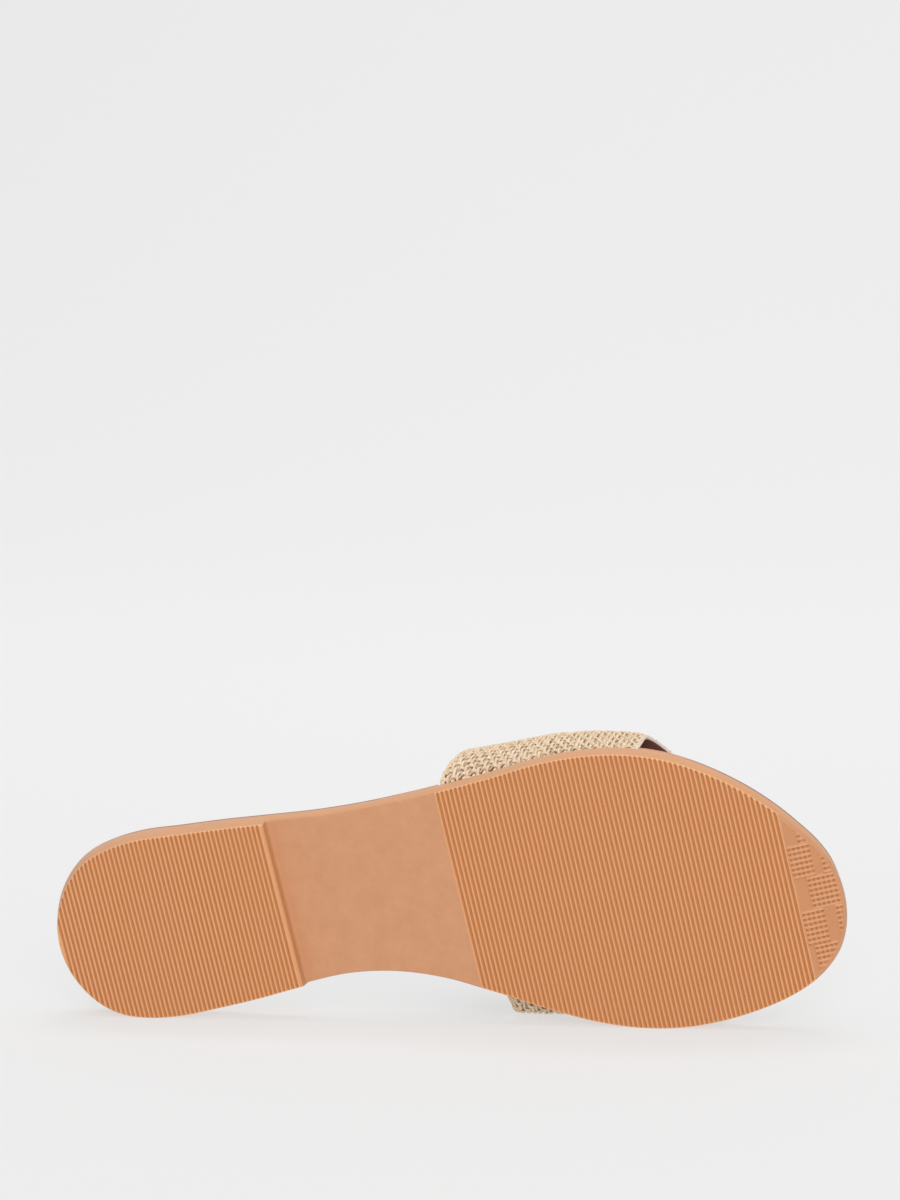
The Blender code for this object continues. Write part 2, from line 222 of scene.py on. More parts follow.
# The toe's texture is moulded with the outsole, so its blocks are laid out here: bands across the toe whose
# lined stretches have lines along the shoe with a row of pits between them, like a basket weave.
TOE_START = 238.2
TOE_BANDS = (  # from and to across the shoe, then where its lined stretches start and end along it
    (-6.0, 11.0, ((242.0, 254.0),)), (11.0, 22.0, ((238.2, 245.4), (247.9, 254.0))),
    (22.0, 32.6, ((242.2, 254.0),)), (32.6, 44.0, ((238.2, 245.5), (248.9, 254.0))),
    (44.0, 58.0, ((240.0, 247.6),)),
)
TOE_LINE_PITCH, TOE_PIT_PITCH = 1.66, 1.5
TOE_FIRST_LINE = 0.25
TOE_LINE_FLANK, TOE_PIT_FLANK = (-0.3, 1.0), (-0.5, 0.5)  # part of a wave from -1 to 1 that the flank takes
TOE_PIT_DEPTH, TOE_LINE_RISE = 0.5, 0.3
TOE_PIT_WALL = 0.15  # share of the pits' depth that the walls between them have
TOE_BLOCK_FLANK = 0.25
TOE_FAINT_PITCH, TOE_FAINT_DEPTH = 0.66, 0.12
TOE_PLAIN_SHADE, TOE_LINE_SHADE = 0.65, 0.15  # shares of painted shade, as in the grooves
TOE_PIT_SHADE, TOE_WALL_SHADE = 0.9, 0.5
TOE_LINE_RIB_LIGHT_SHARE = 0.4
TOE_ACROSS = (-4.0, 57.0)
TOE_STEP = 0.2
TOE_PROUD = 0.01
TOE_RIM, TOE_RIM_FADE = 0.45, 1.0  # from the sole's edge to the texture's, and to where it has its depth
TOE_RIB_FADE = 0.3
TOE_BED_DEPTH = 1.0  # the outsole's own face lies this far below the texture
TOE_BED_FROM_RIBS, TOE_BED_FROM_RIM = (0.3, 0.7), (0.85, 1.2)

stations = np.unique(np.concatenate((
    HEEL_TIP + END_STEPS, *(np.arange(*run) for run in STATION_RUNS), WAIST_BENDS, TOE_TIP - END_STEPS,
)))
tread_edges = {side: edge(side, stations, 0.0)[:, 1] for side in SIDES}
tread_width = tread_edges[MEDIAL] - tread_edges[LATERAL]
inset_shares = {}
for side in SIDES:
    square = np.abs(edge(side, stations, 1.0)[:, 1] - tread_edges[side])
    inset_shares[side] = np.minimum(EDGE_INSETS / np.maximum(square * tread_width, LEAST_WIDTH)[:, None],
                                    np.linspace(0, WIDEST_INSET, len(EDGE_INSETS)))
inner_start, inner_end = inset_shares[LATERAL][:, -1:], 1 - inset_shares[MEDIAL][:, -1:]
tread_shares = np.hstack((inset_shares[LATERAL], inner_start + (inner_end - inner_start) * INNER_SHARES,
                          1 - inset_shares[MEDIAL][:, ::-1]))
tread_across = tread_edges[LATERAL][:, None] + tread_width[:, None] * tread_shares
tread_plan = np.stack((np.broadcast_to(stations[:, None], tread_across.shape), tread_across), axis=-1)
inside = from_rim(tread_plan)
inside[:, [0, -1]] = inside[[0, -1]] = 0.0  # the edge itself
rounding = EDGE_ROUNDING * (1 - np.sqrt(1 - np.clip(1 - inside / EDGE_ROUNDING, 0, 1) ** 2))
grooves = GROOVE_DEPTH * groove_share(stations)[:, None] * ramp(inside, *GROOVE_END)
toe_bed = (TOE_BED_DEPTH * ramp(stations - TOE_START, *TOE_BED_FROM_RIBS)[:, None]
           * ramp(inside, *TOE_BED_FROM_RIM))
tread_points = np.dstack((tread_plan, tread_height(stations)[:, None] + rounding + grooves + toe_bed))
walls = {}
for side in SIDES:
    foot, top, flare = tread_height(stations) + EDGE_ROUNDING, top_height(stations), top_flare(stations)
    wall = [np.c_[edge(side, stations, flare * f + WALL_BULGE * 4 * f * (1 - f)), foot + (top - foot) * f]
            for f in WALL_SHARES]
    wall += [np.c_[edge(side, stations, flare - inset), top - down] for inset, down in WALL_TOP_ROUNDING]
    walls[side] = np.stack(wall, axis=1)
sole_sections = np.concatenate((walls[LATERAL][:, ::-1], tread_points, walls[MEDIAL]), axis=1)
sole_points, sole_became, sole_faces = weld(sole_sections.reshape(-1, 3),
                                            grid_faces(*sole_sections.shape[:2], closed=True, flip=True))
outsole = add_mesh("rubber_outsole", sole_points, sole_faces)
# Painted light: the ribbed tread is painted a richer, brighter tan, and the sidewalls take part of it.
painted_rib_light = np.full(sole_sections.shape[:2], WALL_RIB_LIGHT_SHARE)
painted_shade = np.zeros(sole_sections.shape[:2])
tread_columns = slice(len(walls[LATERAL][0]), len(walls[LATERAL][0]) + tread_points.shape[1])
on_ribs = np.zeros(len(stations), bool)
for start, end in RIBBED_SPANS:
    on_ribs |= (stations > start) & (stations < end)
painted_rib_light[:, tread_columns] = on_ribs[:, None]
# Painted shade: the grooves are painted darker by their depth, and so are the heel block's front edge and the
# waist beside it.
painted_shade[:, tread_columns] = grooves / GROOVE_DEPTH
painted_shade[(stations > HEEL_LIP[0]) & (stations < HEEL_LIP[1]), tread_columns] = HEEL_LIP_SHADE
at_foot = (stations > HEEL_LIP[1]) & (stations < BREAST_FOOT[1])
painted_shade[at_foot, tread_columns] = BREAST_FOOT_SHADE * fall(stations[at_foot], *BREAST_FOOT)[:, None]
# Painted highlights: the ends of the rib crests at the sole's edge are painted pale.
rib_tops = (1 - groove_share(stations)) ** 2 * on_ribs
painted_rib_highlight = np.zeros(sole_sections.shape[:2])
painted_rib_highlight[:, tread_columns] = RIB_END_HIGHLIGHT_SHARE * rib_tops[:, None] * fall(inside, *RIB_END_HIGHLIGHT)
for name, values in (("painted_rib_light", painted_rib_light), ("painted_shade", painted_shade), ("painted_rib_highlight", painted_rib_highlight)):
    welded = np.zeros(len(sole_points), np.float32)
    welded[sole_became] = values.reshape(-1)
    outsole.data.attributes.new(name, "FLOAT", "POINT").data.foreach_set("value", welded)

toe_x, toe_y = np.meshgrid(np.arange(TOE_START, TOE_TIP, TOE_STEP), np.arange(*TOE_ACROSS, TOE_STEP),
                           indexing="ij")
in_outline = (toe_y > edge(LATERAL, toe_x, 0.0)[..., 1]) & (toe_y < edge(MEDIAL, toe_x, 0.0)[..., 1])
toe_inside = from_rim(np.dstack((toe_x, toe_y))) * np.where(in_outline, 1, -1)
toe_depth = TOE_FAINT_DEPTH * (0.5 - 0.5 * np.cos(2 * np.pi * toe_x / TOE_FAINT_PITCH))
# Painted shade on the toe: its plain face and its pits are painted darker, its lines a little.
toe_painted_shade, toe_painted_rib_light = np.full(toe_x.shape, TOE_PLAIN_SHADE), np.zeros(toe_x.shape)
for band_start, band_end, stretches in TOE_BANDS:
    line_turns = 2 * np.pi * (toe_y - band_start - TOE_FIRST_LINE) / TOE_LINE_PITCH
    between_lines = ramp(-np.cos(line_turns), *TOE_LINE_FLANK)
    for start, end in stretches:
        pit_turns = 2 * np.pi * (toe_x - start) / TOE_PIT_PITCH
        pits = TOE_PIT_WALL + (1 - TOE_PIT_WALL) * ramp(-np.cos(pit_turns), *TOE_PIT_FLANK)
        in_block = np.min((toe_x - start, end - toe_x, toe_y - band_start, band_end - toe_y), axis=0)
        block_depth = (TOE_PIT_DEPTH + TOE_LINE_RISE) * between_lines * pits - TOE_LINE_RISE
        block_shade = TOE_LINE_SHADE + TOE_PIT_SHADE * between_lines * (TOE_WALL_SHADE + pits)
        toe_depth = np.where(in_block > 0, block_depth * ramp(in_block, 0, TOE_BLOCK_FLANK), toe_depth)
        toe_painted_shade = np.where(in_block > 0, np.minimum(block_shade, 1), toe_painted_shade)
        # Painted light: the toe's lines take part of the brighter rib tan.
        toe_painted_rib_light = np.where(in_block > 0, TOE_LINE_RIB_LIGHT_SHARE * (1 - between_lines), toe_painted_rib_light)
toe_fade = ramp(toe_inside, TOE_RIM, TOE_RIM_FADE) * ramp(toe_x - TOE_START, 0.0, TOE_RIB_FADE)
toe_depth *= toe_fade
toe_points = np.dstack((toe_x, toe_y, tread_height(toe_x) - TOE_PROUD + toe_depth)).reshape(-1, 3)
toe_quads = grid_faces(*toe_x.shape, flip=True)
toe_quads = toe_quads[(toe_inside.reshape(-1)[toe_quads] > TOE_RIM).all(axis=1)]
toe_used, toe_quads = np.unique(toe_quads, return_inverse=True)
toe_texture = add_mesh("toe_texture", toe_points[toe_used], toe_quads.reshape(-1, 4).tolist())
for name, values in (("painted_shade", toe_painted_shade), ("painted_rib_light", toe_painted_rib_light)):
    toe_texture.data.attributes.new(name, "FLOAT", "POINT").data.foreach_set(
        "value", (values * toe_fade).reshape(-1)[toe_used].astype(np.float32))


def linear(hex_colour):
    """Linear RGBA of an sRGB hex colour."""
    srgb = np.array([int(hex_colour[i:i + 2], 16) / 255 for i in (1, 3, 5)])
    return (*np.where(srgb <= 0.04045, srgb / 12.92, ((srgb + 0.055) / 1.055) ** 2.4), 1.0)


def add_node(material, kind, settings=None, links=None):
    """A node with its settings, by property or input name, and the outputs linked to its inputs."""
    node = material.node_tree.nodes.new(kind)
    for name, value in (settings or {}).items():
        if name in node.inputs:
            node.inputs[name].default_value = value
        else:
            setattr(node, name, value)
    for name, output in (links or {}).items():
        material.node_tree.links.new(output, node.inputs[name])
    return node


def new_material(name):
    """An empty material, ready for its nodes."""
    material = bpy.data.materials.new(name)
    material.use_nodes = True
    material.node_tree.nodes.clear()
    return material


def per_metre(millimetres):
    """The scale of a pattern whose real size is given: how often it repeats in a metre."""
    return MILLIMETRES_PER_METRE / millimetres


# Rubber, moulded: tan with a satin sheen and the mould's fine grain. It is mottled in patches of a few
# millimetres where it cooled. Light and shade are painted into its colour: a richer, brighter tan on the
# ribbed tread, in part on the sidewalls and on the toe's lines, as painted light; a darker tan in the grooves,
# on the heel block's front edge and the waist beside it, and in the toe's pits, as painted shade; and a
# painted highlight, palest, on the ends of the ribs.
NOISE_MIDDLE = {"From Min": 0.3, "From Max": 0.7}  # a noise's values keep to this part of 0 to 1
rubber = new_material("moulded_rubber")
place = add_node(rubber, "ShaderNodeTexCoord")
mottling = add_node(rubber, "ShaderNodeTexNoise", {"Scale": per_metre(6), "Detail": 6.0, "Roughness": 0.8},
                    {"Vector": place.outputs["Object"]})
mottling_share = add_node(rubber, "ShaderNodeMapRange", NOISE_MIDDLE, {"Value": mottling.outputs["Fac"]})
plain_colour = add_node(rubber, "ShaderNodeMixRGB",
                        {"Color1": linear("#C68C62"), "Color2": linear("#D0966E")},
                        {"Fac": mottling_share.outputs["Result"]})
# Painted light: a richer, brighter tan on the ribbed tread, in part on the sidewalls and on the toe's lines.
rib_light_share = add_node(rubber, "ShaderNodeAttribute", {"attribute_name": "painted_rib_light"})
rib_light_colour = add_node(rubber, "ShaderNodeMixRGB", {"Color2": linear("#DE9F6A")},
                      {"Fac": rib_light_share.outputs["Fac"], "Color1": plain_colour.outputs["Color"]})
# Painted shade: a darker tan in the grooves and the other shaded places.
painted_shade_share = add_node(rubber, "ShaderNodeAttribute", {"attribute_name": "painted_shade"})
painted_shade_colour = add_node(rubber, "ShaderNodeMixRGB", {"Color2": linear("#C48353")},
                       {"Fac": painted_shade_share.outputs["Fac"], "Color1": rib_light_colour.outputs["Color"]})
# Painted highlight: the palest tan, on the ends of the ribs.
painted_rib_highlight_share = add_node(rubber, "ShaderNodeAttribute", {"attribute_name": "painted_rib_highlight"})
rubber_colour = add_node(rubber, "ShaderNodeMixRGB", {"Color2": linear("#F4BE88")},
                         {"Fac": painted_rib_highlight_share.outputs["Fac"], "Color1": painted_shade_colour.outputs["Color"]})
mould_grain = add_node(rubber, "ShaderNodeTexNoise", {"Scale": per_metre(0.6), "Detail": 3.0},
                       {"Vector": place.outputs["Object"]})
grain_bump = add_node(rubber, "ShaderNodeBump", {"Strength": 0.15, "Distance": 0.0001},
                      {"Height": mould_grain.outputs["Fac"]})
rubber_shader = add_node(rubber, "ShaderNodeBsdfPrincipled", {"Roughness": 0.42, "IOR": 1.5},
                         {"Base Color": rubber_colour.outputs["Color"], "Normal": grain_bump.outputs["Normal"]})
add_node(rubber, "ShaderNodeOutputMaterial", {}, {"Surface": rubber_shader.outputs["BSDF"]})
for piece in (outsole, toe_texture):
    piece.data.materials.append(rubber)
    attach(piece, "root")
    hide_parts("outsole")

# Footbed. A thin board wrapped in smooth leather and glued on the outsole. It is narrower beside the strap,
# whose margins are tucked under its edge.
GLUE_GAP = 0.3
FOOTBED_THICKNESS = 2.9
FOOTBED_EDGE_INSET = 0.2
BESIDE_STRAP_INSET = 3.6
OVER_MARGIN_LIFT = 1.5
STRAP_SPAN = {LATERAL: (132.2, 198.3), MEDIAL: (137.0, 206.6)}
SPAN_END = 0.25  # half the length over which the edge steps in beside the strap
FOOTBED_RUN = (1.5, 250.0, 1.2)  # from and to along the sole, step
FOOTBED_PROFILE = (  # inset, share of the thickness
    (1.2, 0.0), (0.3, 0.0), (0.08, 0.06), (0.0, 0.2), (0.0, 0.26), (0.0, 0.28), (0.0, 0.62), (0.12, 0.8),
    (0.4, 0.92), (0.9, 0.985), (1.8, 1.0),
)
FOOTBED_COVER_START = np.array([  # along, share of the thickness where the brown top begins
    (-1.0, 0.28), (112.0, 0.28), (132.0, 0.9), (206.0, 0.9), (222.0, 0.28), (253.0, 0.28),
])
COVER_BLEND = 0.03
FOOTBED_DISH, FOOTBED_DISH_RIM = 0.5, (4.0, 16.0)  # its depth; from the edge to its start, and to its depth
FOOTBED_MIDDLE_STEPS = 14

span_ends = {side: [end + step for end in span for step in (-SPAN_END, SPAN_END)]
             for side, span in STRAP_SPAN.items()}
footbed_stations = np.unique(np.concatenate((
    HEEL_TIP + END_STEPS, np.arange(*FOOTBED_RUN), TOE_TIP - END_STEPS, *span_ends.values(),
)))
footbed_bottom = top_height(footbed_stations) + GLUE_GAP
footbed_sides = {}
for side in SIDES:
    beside = np.interp(footbed_stations, span_ends[side], (0, 1, 1, 0))
    inset = FOOTBED_EDGE_INSET + (BESIDE_STRAP_INSET - FOOTBED_EDGE_INSET) * beside
    out = top_flare(footbed_stations) - inset
    lift = OVER_MARGIN_LIFT * beside
    footbed_sides[side] = np.stack([
        np.c_[edge(side, footbed_stations, out - across),
              footbed_bottom + lift + (FOOTBED_THICKNESS - lift) * share]
        for across, share in FOOTBED_PROFILE
    ], axis=1)
middle_shares = np.linspace(0, 1, FOOTBED_MIDDLE_STEPS)[1:-1, None]
footbed_middle = (footbed_sides[LATERAL][:, None, -1] * (1 - middle_shares)
                  + footbed_sides[MEDIAL][:, None, -1] * middle_shares)
footbed_middle[..., 2] -= (FOOTBED_DISH * np.sin(np.pi * middle_shares[:, 0])
                           * ramp(from_rim(footbed_middle[..., :2]), *FOOTBED_DISH_RIM))
footbed_sections = np.concatenate((footbed_sides[LATERAL], footbed_middle, footbed_sides[MEDIAL][:, ::-1]),
                                  axis=1)
footbed_points, footbed_became, footbed_faces = weld(footbed_sections.reshape(-1, 3),
                                                     grid_faces(*footbed_sections.shape[:2], closed=True))
footbed = add_mesh("leather_footbed", footbed_points, footbed_faces)
cover = np.ones(footbed_sections.shape[:2])
cover_start = np.interp(footbed_stations, *FOOTBED_COVER_START.T)[:, None]
profile_shares = np.array(FOOTBED_PROFILE)[:, 1]
cover[:, :len(profile_shares)] = ramp(profile_shares, cover_start - COVER_BLEND, cover_start + COVER_BLEND)
cover[:, -len(profile_shares):] = cover[:, len(profile_shares) - 1::-1]
welded = np.zeros(len(footbed_points), np.float32)
welded[footbed_became] = cover.reshape(-1)
footbed.data.attributes.new("cover", "FLOAT", "POINT").data.foreach_set("value", welded)

# Cowhide, dyed and finished smooth: brown on top, a little uneven in tone, with a fine pebbled grain and a low
# sheen. Its wrapped edge is stained tan to match the rubber.
leather = new_material("footbed_leather")
place = add_node(leather, "ShaderNodeTexCoord")
dye = add_node(leather, "ShaderNodeTexNoise", {"Scale": per_metre(30), "Detail": 5.0},
               {"Vector": place.outputs["Object"]})
dye_share = add_node(leather, "ShaderNodeMapRange", NOISE_MIDDLE, {"Value": dye.outputs["Fac"]})
cover_colour = add_node(leather, "ShaderNodeMixRGB",
                        {"Color1": linear("#7E5B4A"), "Color2": linear("#8C6857")},
                        {"Fac": dye_share.outputs["Result"]})
cover_share = add_node(leather, "ShaderNodeAttribute", {"attribute_name": "cover"})
leather_colour = add_node(leather, "ShaderNodeMixRGB", {"Color1": linear("#D2926C")},
                          {"Fac": cover_share.outputs["Fac"], "Color2": cover_colour.outputs["Color"]})
pebbles = add_node(leather, "ShaderNodeTexVoronoi", {"Scale": per_metre(0.9)},
                   {"Vector": place.outputs["Object"]})
pebble_bump = add_node(leather, "ShaderNodeBump", {"Strength": 0.15, "Distance": 0.0001},
                       {"Height": pebbles.outputs["Distance"]})
leather_shader = add_node(leather, "ShaderNodeBsdfPrincipled", {"Roughness": 0.5, "IOR": 1.5}, {
    "Base Color": leather_colour.outputs["Color"], "Normal": pebble_bump.outputs["Normal"],
})
add_node(leather, "ShaderNodeOutputMaterial", {}, {"Surface": leather_shader.outputs["BSDF"]})
footbed.data.materials.append(leather)
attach(footbed, "root")
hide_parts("footbed")

# Strap. One band over the instep, plain-woven from thick straw yarn: warp yarns go over the foot and weft
# yarns run along the shoe. Its lower margins turn in between footbed and outsole and are glued there.
STRAP_SIDES = {
    LATERAL: np.array([  # place, foot, lean, bulge
        (0.00, 132.8, 4.6, 5.2), (0.33, 154.3, 3.0, 3.4), (0.67, 176.2, 1.0, 1.4), (1.00, 197.7, 0.5, -0.3),
    ]),
    MEDIAL: np.array([
        (0.00, 137.6, -0.8, 13.3), (0.33, 160.0, 0.0, 5.6), (0.67, 183.5, 0.5, 1.3), (1.00, 206.0, 1.0, 1.2),
    ]),
}
BULGE_HEIGHTS = {LATERAL: 25.0, MEDIAL: 23.0}
STRAP_CROWN = np.array([  # place, across, height, sweep
    (0.00, 15.0, 66.0, 8.0), (0.33, 16.5, 61.0, 8.5), (0.67, 17.5, 54.5, 9.5), (1.00, 18.0, 47.0, 10.5),
])
STRAP_EDGE_INSET = 0.3
STRAP_LEAN_POWER = 1.3  # the wall leans forward more and more towards its top
MARGIN_BEND = 2.2
BEND_STEPS, WALL_STEPS, ARCH_STEPS = 8, 40, 120
SKIN_COLUMNS, SKIN_ROWS = 161, 600


def strap_side(side, place):
    """Outer line of the strap on one side, from its bend into the sole up to the widest point of its wall."""
    table = STRAP_SIDES[side]
    foot, lean, bulge = (smooth(table[:, 0], table[:, column], place) for column in (1, 2, 3))
    base = top_height(foot) + GLUE_GAP
    rise = BULGE_HEIGHTS[side] - base
    out = top_flare(foot) - STRAP_EDGE_INSET
    corner = edge(side, foot, 0.0)[1] + side * out

    def wall(f):
        along = foot + lean * f ** STRAP_LEAN_POWER
        return np.stack((along, corner + side * bulge * (1 - (1 - f) ** 2), base + rise * f), axis=-1)

    tucked_in = np.array((*edge(side, foot, out - MARGIN_BEND), base))
    bend_end = MARGIN_BEND / np.hypot(rise, 2 * bulge)
    f = np.linspace(0, 1, BEND_STEPS)[:-1, None]
    bend = tucked_in * (1 - f) ** 2 + wall(np.array(0.0)) * 2 * f * (1 - f) + wall(bend_end) * f ** 2
    return np.vstack((bend, wall(np.linspace(bend_end, 1, WALL_STEPS))))


def strap_line(place):
    """Outer line of the strap over the foot, at one place between its back edge (0) and its front edge (1)."""
    lateral, medial = strap_side(LATERAL, place), strap_side(MEDIAL, place)
    across, height, sweep = (smooth(STRAP_CROWN[:, 0], STRAP_CROWN[:, column], place) for column in (1, 2, 3))
    angles = np.linspace(0, np.pi / 2, ARCH_STEPS)[1:]
    halves = []
    for widest in (lateral[-1], medial[-1]):
        y = across + (widest[1] - across) * np.cos(angles)
        z = widest[2] + (height - widest[2]) * np.sin(angles)
        share = (y - lateral[-1, 1]) / (medial[-1, 1] - lateral[-1, 1])
        x = lateral[-1, 0] + (medial[-1, 0] - lateral[-1, 0]) * share + sweep * np.sin(angles) ** 2
        halves.append(np.stack((x, y, z), axis=-1))
    return np.vstack((lateral, halves[0], halves[1][-2::-1], medial[::-1]))


def even_steps(points, count):
    """`count` points at even steps along a line of points."""
    lengths = np.r_[0, np.cumsum(np.linalg.norm(np.diff(points, axis=0), axis=1))]
    wanted = np.linspace(0, lengths[-1], count)
    return np.stack([np.interp(wanted, lengths, points[:, axis]) for axis in range(3)], axis=-1)


strap_places = np.linspace(0, 1, SKIN_COLUMNS)
strap_skin = np.stack([even_steps(strap_line(place), SKIN_ROWS) for place in strap_places])
strap_out = np.cross(np.gradient(strap_skin, axis=0), np.gradient(strap_skin, axis=1))
strap_out /= np.linalg.norm(strap_out, axis=-1, keepdims=True)
strap_length = np.linalg.norm(np.diff(strap_skin, axis=0), axis=-1).sum(axis=0).mean()
strap_girth = np.linalg.norm(np.diff(strap_skin, axis=1), axis=-1).sum(axis=1).mean()


def on_strap(table, place, over):
    """Values of a table of the strap's skin at places from back to front and from side to side, 0 to 1."""
    column, row = np.clip(place, 0, 1) * (SKIN_COLUMNS - 1), np.clip(over, 0, 1) * (SKIN_ROWS - 1)
    i, j = np.minimum(column.astype(int), SKIN_COLUMNS - 2), np.minimum(row.astype(int), SKIN_ROWS - 2)
    f, g = (column - i)[..., None], (row - j)[..., None]
    return ((table[i, j] * (1 - g) + table[i, j + 1] * g) * (1 - f)
            + (table[i + 1, j] * (1 - g) + table[i + 1, j + 1] * g) * f)


WARP_PITCH, WEFT_PITCH = 1.83, 2.9
WARP_HALF_WIDTH, WEFT_HALF_WIDTH = 0.58, 0.85
WARP_SLANT = 0.1  # share of the pitch that a warp yarn leans forward while it goes over a weft yarn
YARN_HALF_THICKNESS = 0.52
YARN_GIRTH = 2.4
YARN_SWING = 0.55
YARN_SUNK = 0.45
YARN_FLAT_END = 2.4  # over this length at the strap's edges the swing comes down to nothing
YARN_WANDER, YARN_WANDER_RATES = 0.14, (0.3, 0.6)  # sideways, in pitches, and how fast, in radians a crossing
YARN_LIFT, YARN_LIFT_RATES = 0.08, (0.8, 1.2)  # up and down
YARN_SWELL, YARN_SWELL_RATE = 0.15, 1.3  # in width, as a share of it
ANY_TURN, ANY_START = (0, 6.3), (0, 50)  # where a yarn's waves and its fibres may start
YARN_STEPS = 6
YARN_SECTION = np.array([(np.cos(a), np.sin(a)) for a in np.radians((0, 45, 90, 135, 180, 270))])
warp_count, weft_count = round(strap_length / WARP_PITCH), round(strap_girth / WEFT_PITCH)
draws = np.random.default_rng(11)


def weave_yarns(name, count, crossings, half_width, going_over):
    """All yarns that go one way, each a flattened tube that swings over and under those it crosses."""
    steps = np.linspace(0, 1, crossings * YARN_STEPS + 1)
    crossed = steps * crossings
    points, quads, runs, tones = [], [], [], []
    for i in range(count):
        turn = np.pi * (crossed - 0.5 + i + (0 if going_over else 1))
        wander = YARN_WANDER * np.sin(crossed * draws.uniform(*YARN_WANDER_RATES) + draws.uniform(*ANY_TURN))
        slant = WARP_SLANT * np.sin(turn) if going_over else 0.0
        across = np.clip((i + 0.5 + wander + slant) / count, 0, 1)
        place, over = (across, steps) if going_over else (steps, across)
        centre, outward = on_strap(strap_skin, place, over), on_strap(strap_out, place, over)
        forward = np.gradient(centre, axis=0)
        forward /= np.linalg.norm(forward, axis=-1, keepdims=True)
        beside = np.cross(outward, forward)
        from_end = np.minimum(place, 1 - place) * strap_length
        height = YARN_SWING * np.cos(turn) * ramp(from_end, 0.0, YARN_FLAT_END) - YARN_SUNK
        height += YARN_LIFT * np.sin(crossed * draws.uniform(*YARN_LIFT_RATES) + draws.uniform(*ANY_TURN))
        swell = YARN_SWELL * np.sin(crossed * YARN_SWELL_RATE + draws.uniform(*ANY_TURN))
        width = half_width * (1 + swell)
        rise = height[:, None, None] + YARN_SECTION[:, 1:] * YARN_HALF_THICKNESS
        ring = (centre[:, None] + outward[:, None] * rise
                + beside[:, None] * width[:, None, None] * YARN_SECTION[:, :1])
        quads.append(grid_faces(len(steps), len(YARN_SECTION), closed=True, flip=True)
                     + i * len(steps) * len(YARN_SECTION))
        points.append(ring.reshape(-1, 3))
        run = np.r_[0, np.cumsum(np.linalg.norm(np.diff(centre, axis=0), axis=-1))]
        around = np.linspace(0, YARN_GIRTH, len(YARN_SECTION))
        run_and_around = np.meshgrid(run + draws.uniform(*ANY_START), around, indexing="ij")
        runs.append(np.dstack(run_and_around).reshape(-1, 2))
        tones.append(np.full(len(runs[-1]), draws.uniform(0, 1)))
    quads = np.vstack(quads)
    piece = add_mesh(name, np.vstack(points), quads.tolist())
    layer = piece.data.uv_layers.new(name="yarn")
    corner_runs = np.vstack(runs)[quads.reshape(-1)].reshape(-1).astype(np.float32)
    layer.data.foreach_set("uv", corner_runs / MILLIMETRES_PER_METRE)
    tone = piece.data.attributes.new("yarn_tone", "FLOAT", "POINT")
    tone.data.foreach_set("value", np.hstack(tones).astype(np.float32))
    return piece


warp = weave_yarns("strap_warp", warp_count, weft_count, WARP_HALF_WIDTH, True)
weft = weave_yarns("strap_weft", weft_count, warp_count, WEFT_HALF_WIDTH, False)

# Straw yarn, spun: dry pale cream without gloss. Each yarn differs a little in tone. Its fibres wind round it
# as fine slanted streaks, drawn about 0.25 mm wide, which is coarser than they are, so that they show.
straw = new_material("straw_yarn")
run = add_node(straw, "ShaderNodeUVMap", {"uv_map": "yarn"})
winding = add_node(straw, "ShaderNodeMapping",
                   {"Rotation": (0.0, 0.0, 0.6), "Scale": (per_metre(1.6), per_metre(0.25), 1.0)},
                   {"Vector": run.outputs["UV"]})
fibres = add_node(straw, "ShaderNodeTexNoise", {"Scale": 1.0, "Detail": 3.0},
                  {"Vector": winding.outputs["Vector"]})
fibre_share = add_node(straw, "ShaderNodeMapRange", NOISE_MIDDLE, {"Value": fibres.outputs["Fac"]})
yarn_tone = add_node(straw, "ShaderNodeAttribute", {"attribute_name": "yarn_tone"})
yarn_colour = add_node(straw, "ShaderNodeMixRGB", {"Color1": linear("#EED8BA"), "Color2": linear("#FBEBD2")},
                       {"Fac": yarn_tone.outputs["Fac"]})
straw_colour = add_node(straw, "ShaderNodeMixRGB", {"Color1": linear("#D2B698")},
                        {"Fac": fibre_share.outputs["Result"], "Color2": yarn_colour.outputs["Color"]})
fibre_bump = add_node(straw, "ShaderNodeBump", {"Strength": 0.4, "Distance": 0.00015},
                      {"Height": fibres.outputs["Fac"]})
straw_shader = add_node(straw, "ShaderNodeBsdfPrincipled",
                        {"Roughness": 0.85, "IOR": 1.45, "Specular IOR Level": 0.2},
                        {"Base Color": straw_colour.outputs["Color"], "Normal": fibre_bump.outputs["Normal"]})
add_node(straw, "ShaderNodeOutputMaterial", {}, {"Surface": straw_shader.outputs["BSDF"]})
for piece in (warp, weft):
    piece.data.materials.append(straw)
    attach(piece, "root")
    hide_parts("strap")

# Strap lining. Thin leather glued behind the weave. Its raw tan side faces the yarns and shows in the gaps
# between them; its dark-brown face shows in the strap's open ends. Its front and back edges are pared thin.
LINING_COLUMNS, LINING_ROWS = 48, 200
LINING_OUTER, LINING_OUTER_AT_EDGE = 1.25, 0.75
LINING_INNER, LINING_INNER_AT_EDGE = 2.2, 1.2
LINING_PARING = 4.0

